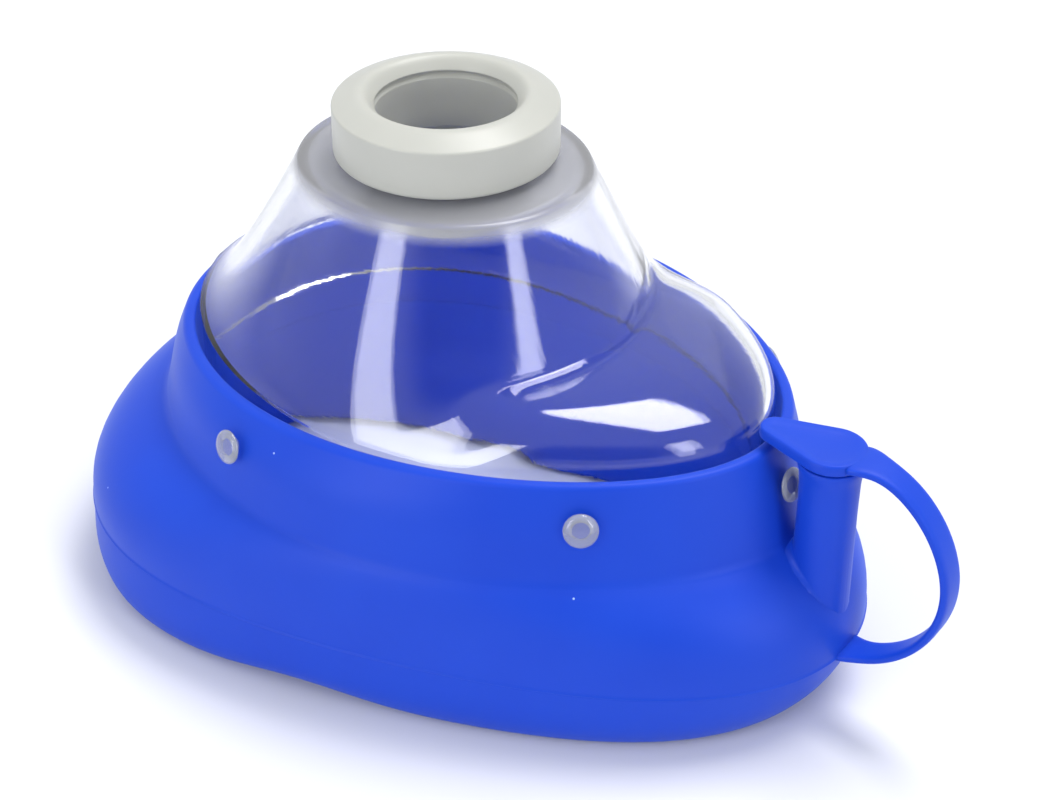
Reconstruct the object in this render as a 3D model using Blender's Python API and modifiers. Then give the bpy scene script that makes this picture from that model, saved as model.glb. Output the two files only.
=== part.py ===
"""Resuscitation face mask for a bag and valve: a clear dome with a 22 mm connector
ring, held by six studs in a soft air cuff that has an inflation port, a tethered
plug and a face seal. The nose end points along +X, and the mask stands on z = 0."""

import math
from collections import namedtuple

import bmesh
import bpy
import numpy as np

MM = 0.001
GAP = 0.3 * MM  # kept between pieces that touch
AROUND = 60  # sections round the mask

# Horizontal outlines, as egg shapes about the connector's axis.
Egg = namedtuple("Egg", "chin nose half_width taper waist")
COLLAR_INNER = Egg(47.0 * MM, 61.2 * MM, 37.0 * MM, 0.12, -0.025)
COLLAR_LIP = Egg(48.9 * MM, 63.1 * MM, 38.9 * MM, 0.12, -0.025)
COLLAR_MIDDLE = Egg(51.0 * MM, 65.5 * MM, 40.8 * MM, 0.14, -0.07)
COLLAR_FOOT = Egg(53.6 * MM, 68.0 * MM, 43.2 * MM, 0.13, -0.055)
SEAM = Egg(64.2 * MM, 78.7 * MM, 52.9 * MM, 0.28, 0.08)
SEAL_LOWER = Egg(63.4 * MM, 76.4 * MM, 54.0 * MM, 0.29, 0.09)
SEAL_EDGE = Egg(61.0 * MM, 73.0 * MM, 53.2 * MM, 0.30, 0.10)
MOUTH = Egg(50.0 * MM, 48.0 * MM, 26.5 * MM, 0.10, 0.0)

# Heights above the surface that the mask stands on.
SEAM_Z = 13.0 * MM
FOOT_Z = 30.5 * MM
STUD_Z = 40.2 * MM
LIP_Z = 45.8 * MM
LIP_TILT = 0.02  # the lip climbs towards the nose
PLATE_Z = 77.6 * MM
RING_BOTTOM_Z = 79.8 * MM
NECK_TOP_Z = 86.0 * MM
SLEEVE_BOTTOM_Z = 70.0 * MM
RING_EDGE_Z = 88.0 * MM
RING_TOP_Z = 89.7 * MM

# Clear dome.
DOME_WALL = 2.0 * MM
DOME_PLAY = 1.0 * MM  # between the dome's rim and the collar
DOME_FOOT_Z = 34.0 * MM
RAMP_Z = 45.5 * MM  # where the ramp turns vertical
RAMP_RISE_NOSE = 11.0 * MM
RAMP_RISE_CHIN = 8.5 * MM
RAMP_FULLNESS = 3.6  # 2 would make the ramp an ellipsoid
PLATE = Egg(25.2 * MM, 24.2 * MM, 22.1 * MM, 0.0, 0.0)
CONE_SLOPE = 0.50  # radius gained for each metre down
CONE_SKEW = 0.04
CREASE = 1.6 * MM
FLARE_TURN_Z = 52.0 * MM  # where the flanks turn out of the cone towards the rim
FLARE_END_Z = 45.4 * MM
CHIN_LIFT = 3.0 * MM  # how much higher the flank ends at the chin
RAMP_HALF_ANGLE = math.radians(32)  # the ramp's width about the nose
FLARE_HALF_ANGLE = math.radians(66)  # past this the flank flares
NECK_WALL = 1.8 * MM

# Connector ring, with the sleeve that lines the dome's neck.
BORE_RADIUS = 11.2 * MM  # 22 mm female connector
SLEEVE_WALL = 1.4 * MM
NECK_RADIUS = BORE_RADIUS + SLEEVE_WALL + GAP  # inside the neck
RING_RADIUS = 18.3 * MM
LIP_RADIUS = 12.9 * MM

# Cuff. The tube bulges from the collar's foot to the seam: each pair is a share of
# the way down and a share of the way out.
CUFF_WALL = 1.8 * MM
TUBE_BULGE = ((0.10, 0.20), (0.21, 0.47), (0.42, 0.78), (0.70, 0.96))
TUBE_WALL_Z = 25.0 * MM  # top of the air chamber

# Inflation port and its plug.
PORT_X = 72.9 * MM
PORT_RADIUS = 4.8 * MM
PORT_BORE = 3.0 * MM
PORT_BOTTOM_Z = 20.0 * MM
PORT_TOP_Z = 48.1 * MM
PLUG_RADIUS = 5.5 * MM
PLUG_THICKNESS = 2.0 * MM
PLUG_STEM_RADIUS = 2.6 * MM
PLUG_STEM_LENGTH = 6.0 * MM
TAB_X = 63.0 * MM
TAB_RADIUS = 2.6 * MM

# Tether strap.
STRAP_WIDTH = 5.2 * MM
STRAP_THICKNESS = 1.5 * MM
STRAP_LOOP_X = 94.6 * MM

# The connector's axis, placed so that the origin lies under the middle of the length.
CONNECTOR_X = (SEAM.chin - STRAP_LOOP_X - STRAP_THICKNESS / 2) / 2

# Collar studs.
STUD_HEAD = 2.8 * MM
STUD_RISE = 1.4 * MM
STUD_SHANK = 1.3 * MM
STUD_HOLE = STUD_SHANK + GAP
STUD_TILT = math.radians(15)  # the collar leans in towards its lip
STUD_REAR_X = -12.3 * MM
STUD_FRONT_X = 45.6 * MM

BLUE = (0.012, 0.065, 0.62, 1.0)
GREY = (0.60, 0.62, 0.57, 1.0)
CLEAR = (0.90, 0.92, 0.95, 0.35)


def clear_scene():
    for thing in list(bpy.data.objects):
        bpy.data.objects.remove(thing, do_unlink=True)


def collection(name):
    made = bpy.data.collections.new(name)
    bpy.context.scene.collection.children.link(made)
    return made


def material(name, colour, roughness):
    made = bpy.data.materials.new(name)
    made.use_nodes = True
    shader = made.node_tree.nodes["Principled BSDF"]
    shader.inputs["Base Color"].default_value = colour
    shader.inputs["Roughness"].default_value = roughness
    shader.inputs["Metallic"].default_value = 0.0
    shader.inputs["Alpha"].default_value = colour[3]
    return made


def add(mesh_or_curve, name, where, finish=None):
    thing = bpy.data.objects.new(name, mesh_or_curve)
    where.objects.link(thing)
    thing.parent = mask_frame
    if finish:
        mesh_or_curve.materials.append(finish)
    return thing


def add_cutter(mesh, name):
    cutter = add(mesh, name, cutters)
    cutter.hide_render = True
    cutter.display_type = "WIRE"
    return cutter


def cut(thing, cutter):
    boolean = thing.modifiers.new("cut " + cutter.name, "BOOLEAN")
    boolean.operation = "DIFFERENCE"
    boolean.object = cutter
    boolean.solver = "EXACT"


def grown(egg, by):
    """The outline moved outwards by a distance, or inwards if it is negative."""
    return egg._replace(
        chin=egg.chin + by, nose=egg.nose + by, half_width=egg.half_width + by
    )


DOME_RIM = grown(COLLAR_INNER, -DOME_PLAY)


def between(first, second, share):
    """The outline that lies a share of the way from one to another."""
    return Egg(*(a + (b - a) * share for a, b in zip(first, second)))


def egg_points(egg, turn):
    """An ellipse from chin to nose, narrowed towards the nose by taper and, where
    waist is positive, at the sides."""
    middle = (egg.nose - egg.chin) / 2
    half = (egg.nose + egg.chin) / 2
    x = middle + half * np.cos(turn)
    side = 1 - egg.taper * np.cos(turn) + egg.waist * np.cos(2 * turn)
    return x, egg.half_width * np.sin(turn) * side


def egg_section(egg, z, tilt=0.0):
    turn = np.linspace(0, 2 * math.pi, AROUND, endpoint=False)
    x, y = egg_points(egg, turn)
    return np.stack([x, y, z + tilt * x], axis=1)


def egg_radius(egg, azimuth):
    """Distance from the connector's axis to the outline in each direction."""
    turn = np.linspace(0, 2 * math.pi, 721)
    x, y = egg_points(egg, turn)
    angle = np.unwrap(np.arctan2(y, x))
    return np.interp(azimuth, angle, np.hypot(x, y))


def egg_place(egg, x_wanted, side):
    """The outline's point at a given x on one side, and its outward direction."""
    turn = np.linspace(0.001, math.pi - 0.001, 2000)
    x, y = egg_points(egg, turn)
    near = int(np.argmin(np.abs(x - x_wanted)))
    along = np.array([x[near + 1] - x[near - 1], y[near + 1] - y[near - 1]])
    outward = np.array([along[1], -along[0]]) / np.hypot(*along)
    if outward[1] < 0:
        outward = -outward
    return x[near], side * y[near], math.atan2(side * outward[1], outward[0])


def closed_loft(name, sections):
    """A tube-like skin through closed sections, whose last joins the first."""
    points = np.concatenate(sections)
    count = len(sections)
    faces = []
    for row in range(count):
        below = (row + 1) % count
        for column in range(AROUND):
            beside = (column + 1) % AROUND
            faces.append(
                (
                    row * AROUND + column,
                    below * AROUND + column,
                    below * AROUND + beside,
                    row * AROUND + beside,
                )
            )
    mesh = bpy.data.meshes.new(name)
    mesh.from_pydata(points.tolist(), [], faces)
    shade_round(mesh)
    return mesh


def shade_round(mesh):
    mesh.shade_smooth()
    mesh.set_sharp_from_angle(angle=math.radians(35))


def turned(name, profile, where, finish, steps):
    """A closed profile of (radius, height) turned round the local Z axis."""
    mesh = bpy.data.meshes.new(name)
    count = len(profile)
    points = [(radius, 0, height) for radius, height in profile]
    on_axis = profile[0][0] == 0
    edges = [(i, i + 1) for i in range(count - 1)]
    if not on_axis:
        edges.append((count - 1, 0))
    mesh.from_pydata(points, edges, [])
    thing = add(mesh, name, where, finish)
    screw = thing.modifiers.new("turn", "SCREW")
    screw.angle = 2 * math.pi
    screw.steps = steps
    screw.render_steps = steps
    screw.use_merge_vertices = True
    screw.merge_threshold = 1e-6
    screw.use_smooth_shade = True
    return thing


def cylinder(name, radius, low, high, sides):
    mesh = bpy.data.meshes.new(name)
    shape = bmesh.new()
    bmesh.ops.create_cone(
        shape,
        cap_ends=True,
        segments=sides,
        radius1=radius,
        radius2=radius,
        depth=high - low,
    )
    bmesh.ops.translate(shape, verts=shape.verts, vec=(0, 0, (low + high) / 2))
    shape.to_mesh(mesh)
    shape.free()
    return mesh


def flat_outline(name, points, height):
    """A closed outline in the local XY plane, extruded to a height about it."""
    curve = bpy.data.curves.new(name, "CURVE")
    curve.dimensions = "2D"
    curve.fill_mode = "BOTH"
    curve.extrude = height / 2
    spline = curve.splines.new("POLY")
    spline.points.add(len(points) - 1)
    for point, (x, y) in zip(spline.points, points):
        point.co = (x, y, 0, 1)
    spline.use_cyclic_u = True
    return curve


def as_mesh(thing):
    """The evaluated curve as a closed mesh, in place of the curve object."""
    name = thing.name
    graph = bpy.context.evaluated_depsgraph_get()
    mesh = bpy.data.meshes.new_from_object(thing.evaluated_get(graph))
    shape = bmesh.new()
    shape.from_mesh(mesh)
    bmesh.ops.remove_doubles(shape, verts=shape.verts, dist=1e-6)
    bmesh.ops.recalc_face_normals(shape, faces=shape.faces)
    shape.to_mesh(mesh)
    shape.free()
    where = thing.users_collection[0]
    place = thing.matrix_basis.copy()
    bpy.data.objects.remove(thing, do_unlink=True)
    made = add(mesh, name, where)
    made.matrix_basis = place
    return made


def ramp_height(radius, end, toward_nose, cone, inset):
    """The soft maximum of the cone and of a full dome on the egg-shaped rim, which
    makes the ramp over the nose."""
    middle_rise = (RAMP_RISE_NOSE + RAMP_RISE_CHIN) / 2
    rise = middle_rise + (RAMP_RISE_NOSE - RAMP_RISE_CHIN) / 2 * toward_nose
    share = np.clip(1 - (radius / end) ** RAMP_FULLNESS, 0, None)
    full = share ** (1 / RAMP_FULLNESS)
    ramp = RAMP_Z - inset / 2 + (rise - inset / 2) * full
    return (cone + ramp + np.hypot(cone - ramp, CREASE)) / 2


def flare_height(radius, start, end, toward_nose, slope, inset):
    """A quadratic Bezier that leaves the plate's edge along the cone and turns out
    to the rim: its parameter is solved from the radius."""
    foot = FLARE_END_Z - CHIN_LIFT * toward_nose
    turn = start + slope * (PLATE_Z - FLARE_TURN_Z)
    bend = start - 2 * turn + end
    lead = 2 * (turn - start)
    reach = radius - start
    u = 2 * reach / (lead + np.sqrt(lead**2 + 4 * bend * reach))
    z = (1 - u) ** 2 * PLATE_Z + 2 * u * (1 - u) * FLARE_TURN_Z + u**2 * foot
    return z - inset / 2


def dome_sections(inset):
    """Sections from the plate's edge down to the rim's foot. The height at each
    distance from the axis is the ramp's about the nose and the flare's elsewhere,
    with a smooth step between them."""
    azimuth = np.linspace(0, 2 * math.pi, AROUND, endpoint=False)
    toward_nose = np.cos(azimuth)
    from_nose = np.abs(np.arctan2(np.sin(azimuth), toward_nose))
    share = (from_nose - RAMP_HALF_ANGLE) / (FLARE_HALF_ANGLE - RAMP_HALF_ANGLE)
    share = np.clip(share, 0, 1)
    flared = share * share * (3 - 2 * share)
    start = egg_radius(grown(PLATE, -inset), azimuth)
    end = egg_radius(grown(DOME_RIM, -inset), azimuth)
    slope = CONE_SLOPE - CONE_SKEW * toward_nose
    sections = []
    for step in np.linspace(0, 1, 12):
        radius = start + (end - start) * math.sin(step * math.pi / 2)
        cone = PLATE_Z - inset / 2 - (radius - start) / slope
        ramp = ramp_height(radius, end, toward_nose, cone, inset)
        flare = flare_height(radius, start, end, toward_nose, slope, inset)
        z = ramp + (flare - ramp) * flared
        sections.append(
            np.stack([radius * np.cos(azimuth), radius * np.sin(azimuth), z], axis=1)
        )
    foot = sections[-1].copy()
    foot[:, 2] = DOME_FOOT_Z
    return sections + [foot]


def circle_section(radius, z):
    azimuth = np.linspace(0, 2 * math.pi, AROUND, endpoint=False)
    return np.stack(
        [radius * np.cos(azimuth), radius * np.sin(azimuth), np.full(AROUND, z)], axis=1
    )


def make_dome():
    neck = NECK_RADIUS + NECK_WALL
    outer = dome_sections(0)
    inner = dome_sections(DOME_WALL)
    inner_top = inner[0][0, 2]
    sections = [circle_section(NECK_RADIUS, inner_top)]
    sections += [circle_section(NECK_RADIUS, NECK_TOP_Z)]
    sections += [circle_section(neck, NECK_TOP_Z)]
    sections += [circle_section(neck, PLATE_Z + 1.3 * MM)]
    sections += [circle_section(RING_RADIUS, PLATE_Z + 1.0 * MM)]
    sections += outer
    sections += inner[::-1]
    return add(closed_loft("mask_dome", sections), "mask_dome", mask, clear_plastic)


def make_ring():
    """The ring with a socket over the dome's neck, and the sleeve inside the neck
    that makes the connector's bore."""
    socket = NECK_RADIUS + NECK_WALL + GAP
    sleeve = BORE_RADIUS + SLEEVE_WALL
    profile = [
        (LIP_RADIUS, RING_TOP_Z),
        (RING_RADIUS - 0.5 * MM, RING_EDGE_Z + 0.1 * MM),
        (RING_RADIUS, RING_EDGE_Z - 0.5 * MM),
        (RING_RADIUS, RING_BOTTOM_Z + 0.9 * MM),
        (RING_RADIUS - 0.7 * MM, RING_BOTTOM_Z),
        (socket, RING_BOTTOM_Z),
        (socket, NECK_TOP_Z + GAP),
        (sleeve, NECK_TOP_Z + GAP),
        (sleeve, SLEEVE_BOTTOM_Z),
        (BORE_RADIUS, SLEEVE_BOTTOM_Z),
        (BORE_RADIUS, RING_TOP_Z - 1.0 * MM),
        (BORE_RADIUS + 0.4 * MM, RING_TOP_Z - 0.3 * MM),
        (LIP_RADIUS - 1.0 * MM, RING_TOP_Z),
    ]
    return turned("connector_ring", profile, mask, grey_plastic, 48)


def make_cuff():
    """The collar and the upper wall of the air tube, in one skin from the lip down
    the outside to the seam and back up the inside."""
    lip = [
        (COLLAR_INNER, LIP_Z - 0.5 * MM),
        (grown(COLLAR_INNER, 0.6 * MM), LIP_Z),
        (grown(COLLAR_LIP, -0.5 * MM), LIP_Z),
        (COLLAR_LIP, LIP_Z - 0.6 * MM),
    ]
    outside = [
        (COLLAR_MIDDLE, STUD_Z),
        (COLLAR_FOOT, FOOT_Z),
    ]
    tube = [
        (between(COLLAR_FOOT, SEAM, out), FOOT_Z + (SEAM_Z - FOOT_Z) * down)
        for down, out in TUBE_BULGE
    ]
    outside += tube + [(SEAM, SEAM_Z + GAP / 2)]
    inside = [
        (grown(SEAM, -CUFF_WALL), SEAM_Z + GAP / 2),
        (grown(tube[-1][0], -CUFF_WALL), tube[-1][1]),
        (grown(tube[-2][0], -CUFF_WALL - 0.8 * MM), tube[-2][1] - 0.6 * MM),
        (grown(COLLAR_FOOT, 1.0 * MM), TUBE_WALL_Z),
        (grown(COLLAR_INNER, 1.2 * MM), TUBE_WALL_Z + 0.5 * MM),
        (COLLAR_INNER, DOME_FOOT_Z - 3.0 * MM),
    ]
    sections = [egg_section(egg, z, LIP_TILT) for egg, z in lip]
    sections += [egg_section(egg, z) for egg, z in outside + inside]
    cuff = add(closed_loft("cuff_shell", sections), "cuff_shell", mask, blue_silicone)
    port_hole = add_cutter(
        cylinder(
            "port_hole",
            PORT_RADIUS + GAP,
            PORT_BOTTOM_Z - GAP,
            LIP_Z + 10 * MM,
            32,
        ),
        "port_hole",
    )
    port_hole.location.x = PORT_X
    cut(cuff, port_hole)
    return cuff


def make_face_seal():
    """The lower wall of the air tube: from the seam down to the flat edge that lies
    on the face, in to the opening for nose and mouth, and up to the collar's foot."""
    top = grown(COLLAR_INNER, -1.2 * MM)
    low = between(MOUTH, top, 0.30)
    high = between(MOUTH, top, 0.75)
    outside = [
        (SEAM, SEAM_Z - GAP / 2),
        (SEAL_LOWER, 6.0 * MM),
        (SEAL_EDGE, 1.2 * MM),
        (grown(SEAL_EDGE, -3.0 * MM), 0.0),
        (grown(SEAL_EDGE, -9.0 * MM), 0.0),
        (grown(MOUTH, 1.0 * MM), 1.2 * MM),
        (MOUTH, 3.0 * MM),
        (low, 10.0 * MM),
        (high, 17.0 * MM),
        (top, TUBE_WALL_Z - 1.0 * MM),
    ]
    inside = [
        (grown(top, CUFF_WALL), TUBE_WALL_Z - 1.0 * MM),
        (grown(high, CUFF_WALL), 16.5 * MM),
        (grown(low, CUFF_WALL), 9.5 * MM),
        (grown(MOUTH, 1.9 * MM), 4.0 * MM),
        (grown(MOUTH, 2.2 * MM), 2.9 * MM),
        (grown(SEAL_EDGE, -8.5 * MM), CUFF_WALL),
        (grown(SEAL_EDGE, -3.5 * MM), CUFF_WALL),
        (grown(SEAL_EDGE, -1.2 * MM), 3.0 * MM),
        (grown(SEAL_LOWER, -CUFF_WALL), 6.5 * MM),
        (grown(SEAM, -CUFF_WALL), SEAM_Z - GAP / 2),
    ]
    sections = [egg_section(egg, z) for egg, z in outside + inside]
    return add(closed_loft("face_seal", sections), "face_seal", mask, blue_silicone)


def make_port():
    profile = [
        (PORT_RADIUS - 0.4 * MM, PORT_TOP_Z),
        (PORT_RADIUS, PORT_TOP_Z - 0.4 * MM),
        (PORT_RADIUS, PORT_BOTTOM_Z),
        (PORT_BORE, PORT_BOTTOM_Z),
        (PORT_BORE, PORT_TOP_Z),
    ]
    port = turned("inflation_port", profile, mask, blue_silicone, 32)
    port.location.x = PORT_X
    return port


def teardrop(steps):
    """The plug's outline about its stem: a disc and a smaller tab end, joined by
    their common tangents."""
    reach = PORT_X - TAB_X
    lean = math.asin((PLUG_RADIUS - TAB_RADIUS) / reach)
    opening = math.pi / 2 - lean
    disc = [opening - math.pi + 2 * (math.pi - opening) * i / steps for i in range(steps + 1)]
    tip = [math.pi - opening + 2 * opening * i / 8 for i in range(9)]
    points = [(PLUG_RADIUS * math.cos(a), PLUG_RADIUS * math.sin(a)) for a in disc]
    points += [
        (-reach + TAB_RADIUS * math.cos(a), TAB_RADIUS * math.sin(a)) for a in tip
    ]
    return points


def make_plug():
    """The cap with its pull tab, and the stem that closes the port's bore. The
    piece's origin is on the port's axis, along which it pulls out."""
    bottom = PORT_TOP_Z + GAP
    cap = add(flat_outline("port_plug", teardrop(28), PLUG_THICKNESS), "port_plug", mask)
    bpy.context.view_layer.update()
    plug = as_mesh(cap)
    plug.data.materials.append(blue_silicone)
    plug.location = (PORT_X, 0, bottom + PLUG_THICKNESS / 2)
    stem_mesh = cylinder(
        "plug_stem", PLUG_STEM_RADIUS, -PLUG_STEM_LENGTH, PLUG_THICKNESS / 2, 24
    )
    stem = add_cutter(stem_mesh, "plug_stem")
    stem.location = (PORT_X, 0, bottom)
    union = plug.modifiers.new("stem", "BOOLEAN")
    union.operation = "UNION"
    union.object = stem
    union.solver = "EXACT"
    return plug


def strap_route():
    """Points along the strap's middle, out of the plug, round the loop and back to
    the seam: a Bezier chain through four places in the XZ plane."""
    start = np.array([PORT_X + PLUG_RADIUS + GAP, PORT_TOP_Z + GAP + 1.3 * MM])
    loop = np.array([STRAP_LOOP_X, 31.5 * MM])
    root = np.array([SEAM.nose + GAP, SEAM_Z])
    legs = [
        (start, start + (9.0 * MM, 1.6 * MM), loop + (0, 9.5 * MM), loop),
        (loop, loop - (0, 10.5 * MM), root + (8.0 * MM, 0), root),
    ]
    route = []
    for a, b, c, d in legs:
        for t in np.linspace(0, 1, 15)[:-1]:
            s = 1 - t
            route.append(s**3 * a + 3 * s * s * t * b + 3 * s * t * t * c + t**3 * d)
    return np.array(route + [root])


def make_strap():
    """The flat tether, as its side outline extruded across its width."""
    route = strap_route()
    along = np.gradient(route, axis=0)
    along /= np.linalg.norm(along, axis=1)[:, None]
    across = np.stack([-along[:, 1], along[:, 0]], axis=1) * STRAP_THICKNESS / 2
    outline = np.concatenate([route + across, (route - across)[::-1]])
    strap = add(
        flat_outline("tether_strap", outline.tolist(), STRAP_WIDTH),
        "tether_strap",
        mask,
        blue_silicone,
    )
    strap.rotation_euler.x = math.pi / 2
    return strap


def make_stud(name, x, y, outward, cuff):
    """A snap stud: a domed head outside the collar and a shank through it. Its
    local Z axis points outwards and its origin is on the collar's outer surface."""
    seat = 0.65 * MM
    azimuth = math.atan2(y, x) % (2 * math.pi)
    room = math.hypot(x, y) - float(egg_radius(DOME_RIM, azimuth))
    depth = 0.85 * room - GAP
    head = [(0.0, seat + STUD_RISE)]
    for angle in (25, 50, 75, 90):
        turn = math.radians(angle)
        head.append((STUD_HEAD * math.sin(turn), seat + STUD_RISE * math.cos(turn)))
    profile = head + [(STUD_SHANK, seat), (STUD_SHANK, -depth), (0.0, -depth)]
    stud = turned(name, profile, mask, clear_plastic, 16)
    hole = add_cutter(cylinder(name + "_hole", STUD_HOLE, -8 * MM, 5 * MM, 16), name + "_hole")
    for piece in (stud, hole):
        piece.location = (x, y, STUD_Z)
        piece.rotation_euler = (0, math.pi / 2 - STUD_TILT, outward)
    cut(cuff, hole)


def make_studs(cuff):
    """Six studs at one height: one on each end and two on each side."""
    make_stud("stud_chin", -COLLAR_MIDDLE.chin, 0.0, math.pi, cuff)
    make_stud("stud_nose", COLLAR_MIDDLE.nose, 0.0, 0.0, cuff)
    for end, along in (("rear", STUD_REAR_X), ("front", STUD_FRONT_X)):
        for side, word in ((1, "left"), (-1, "right")):
            x, y, outward = egg_place(COLLAR_MIDDLE, along, side)
            make_stud(f"stud_{end}_{word}", x, y, outward, cuff)


clear_scene()
mask = collection("face_mask")
cutters = collection("cutters")
mask_frame = bpy.data.objects.new("connector_axis", None)
mask.objects.link(mask_frame)
mask_frame.location.x = CONNECTOR_X
clear_plastic = material("clear_plastic", CLEAR, 0.05)
grey_plastic = material("grey_plastic", GREY, 0.45)
blue_silicone = material("blue_silicone", BLUE, 0.5)

make_dome()
make_ring()
cuff_shell = make_cuff()
make_face_seal()
make_port()
make_plug()
make_strap()
make_studs(cuff_shell)
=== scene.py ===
"""Resuscitation face mask: a clear dome with a connector ring, studded into a blue
silicone air cuff that has a filling port, a tethered plug and a face seal."""

import math

import bpy
import numpy as np
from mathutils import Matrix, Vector


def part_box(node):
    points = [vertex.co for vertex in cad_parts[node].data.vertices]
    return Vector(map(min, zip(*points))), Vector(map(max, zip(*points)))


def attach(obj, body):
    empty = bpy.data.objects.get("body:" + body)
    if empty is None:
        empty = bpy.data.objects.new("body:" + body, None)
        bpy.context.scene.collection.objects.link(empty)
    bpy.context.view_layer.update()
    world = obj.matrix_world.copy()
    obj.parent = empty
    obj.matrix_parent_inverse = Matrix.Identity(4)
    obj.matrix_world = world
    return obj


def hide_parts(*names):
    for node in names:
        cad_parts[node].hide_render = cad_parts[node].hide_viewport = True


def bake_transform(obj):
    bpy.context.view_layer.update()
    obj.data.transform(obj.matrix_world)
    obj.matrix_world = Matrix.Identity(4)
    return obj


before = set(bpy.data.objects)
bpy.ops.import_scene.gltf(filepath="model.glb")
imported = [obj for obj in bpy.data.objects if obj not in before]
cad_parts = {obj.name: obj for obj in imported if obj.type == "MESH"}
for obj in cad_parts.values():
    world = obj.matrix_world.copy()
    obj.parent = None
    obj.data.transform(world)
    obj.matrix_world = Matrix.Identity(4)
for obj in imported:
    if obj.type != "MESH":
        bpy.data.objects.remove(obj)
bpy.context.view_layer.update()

MM = 0.001
TINY = 1e-9  # keeps a division from meeting zero
AROUND = 288  # columns round the mask
ARC_STEPS = 6  # steps that round one edge
LARGEST_CUT = 0.45  # share of a band that one rounded edge may take

# Lowest and highest corners of the frame's own pieces.
ring_low, ring_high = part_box("connector_ring")
dome_low, dome_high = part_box("mask_dome")
port_low, port_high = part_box("inflation_port")
plug_low, plug_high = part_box("port_plug")
strap_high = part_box("tether_strap")[1]

# Axes, radii and heights that follow from those corners.
CONNECTOR_X = (ring_low.x + ring_high.x) / 2
PORT_X = (port_low.x + port_high.x) / 2
RING_RADIUS = (ring_high.x - ring_low.x) / 2
PORT_RADIUS = (port_high.x - port_low.x) / 2
PLUG_RADIUS = plug_high.x - PORT_X
RING_TOP_Z = ring_high.z
SLEEVE_BOTTOM_Z = ring_low.z
NECK_TOP_Z = dome_high.z
DOME_FOOT_Z = dome_low.z

# Heights of the edges between them.
SEAM_Z = 13.0 * MM
FOOT_Z = 30.5 * MM  # where the tube meets the collar
STUD_Z = 40.2 * MM
LIP_Z = 45.8 * MM
LIP_TILT = 0.02  # the lip climbs towards the nose
PLATE_Z = 77.6 * MM
RING_BOTTOM_Z = 79.8 * MM

# Radii about the connector's axis, and walls.
BORE_RADIUS = 11.2 * MM
NECK_RADIUS = 12.9 * MM
NECK_WALL = 1.8 * MM
DOME_WALL = 2.0 * MM
CUFF_WALL = 1.8 * MM

# Eggs about the connector's axis, in millimetres: the reach to the chin, the reach to
# the nose, the half width, the taper and the waist.
COLLAR_INNER = (47.0, 61.2, 37.0, 0.12, -0.025)
COLLAR_LIP = (48.9, 63.1, 38.9, 0.12, -0.025)
COLLAR_MIDDLE = (51.0, 65.5, 40.8, 0.14, -0.07)
COLLAR_FOOT = (53.6, 68.0, 43.2, 0.13, -0.055)
SEAM = (64.2, 78.7, 52.9, 0.28, 0.08)
SEAL_LOWER = (63.4, 76.4, 54.0, 0.29, 0.09)
SEAL_EDGE = (61.0, 73.0, 53.2, 0.30, 0.10)
MOUTH = (53.0, 52.0, 29.0, -0.20, 0.0)
PLATE = (25.2, 24.2, 22.1, 0.0, 0.0)


def on_egg(egg, t):
    """Places on one horizontal egg at parameters that count from 0 at the nose, as x
    and y in metres: an ellipse from -chin to nose whose half width is multiplied by
    1 - taper cos t + waist cos 2t."""
    chin, nose, half_width, taper, waist = egg
    x = (nose - chin) / 2 + (nose + chin) / 2 * np.cos(t)
    y = half_width * np.sin(t) * (1 - taper * np.cos(t) + waist * np.cos(2 * t))
    return np.stack([x, y], axis=1) * MM


def outline(egg):
    """The egg's place in every column."""
    return on_egg(egg, np.linspace(0, 2 * math.pi, AROUND, endpoint=False))


def grown(egg, by):
    """An egg whose reaches and half width are longer by a distance in millimetres."""
    return (egg[0] + by, egg[1] + by, egg[2] + by, egg[3], egg[4])


def between(first, second, share):
    """The egg that lies a share of the way from one to another."""
    return tuple(a + (b - a) * share for a, b in zip(first, second))


def ring_of(egg, z, tilt=0.0):
    """The egg as one ring of points at a height in metres, which climbs towards the
    nose by the tilt. The height is one number, or one for every column."""
    flat = outline(egg)
    height = z + tilt * flat[:, 0]
    return np.column_stack([flat[:, 0] + CONNECTOR_X, flat[:, 1], height])


def circle(radius, z, x=CONNECTOR_X, count=AROUND):
    """A level circle as one ring of points."""
    t = np.linspace(0, 2 * math.pi, count, endpoint=False)
    flat = [x + radius * np.cos(t), radius * np.sin(t), np.full(count, z)]
    return np.column_stack(flat)


def rounded(edges):
    """A stack of rings with its edges rounded, from pairs of a ring and its cut in
    millimetres. A ring with a cut becomes a quadratic Bezier that leaves the band
    before it a cut away from the edge, is drawn towards the edge, and joins the band
    after it a cut away. On a short band the cut stops before the band's middle. A
    ring with no cut stays as it is."""
    t = np.linspace(0, 1, ARC_STEPS + 1)[:, None, None]
    made = []
    for i, (ring, cut) in enumerate(edges):
        if not cut:
            made.append(ring[None])
            continue
        ends = []
        for other in (edges[i - 1][0], edges[(i + 1) % len(edges)][0]):
            band = other - ring
            length = np.linalg.norm(band, axis=1, keepdims=True)
            share = np.minimum(cut * MM / np.maximum(length, TINY), LARGEST_CUT)
            ends.append(ring + band * share)
        made.append((1 - t) ** 2 * ends[0] + 2 * t * (1 - t) * ring + t**2 * ends[1])
    return np.concatenate(made)


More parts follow.
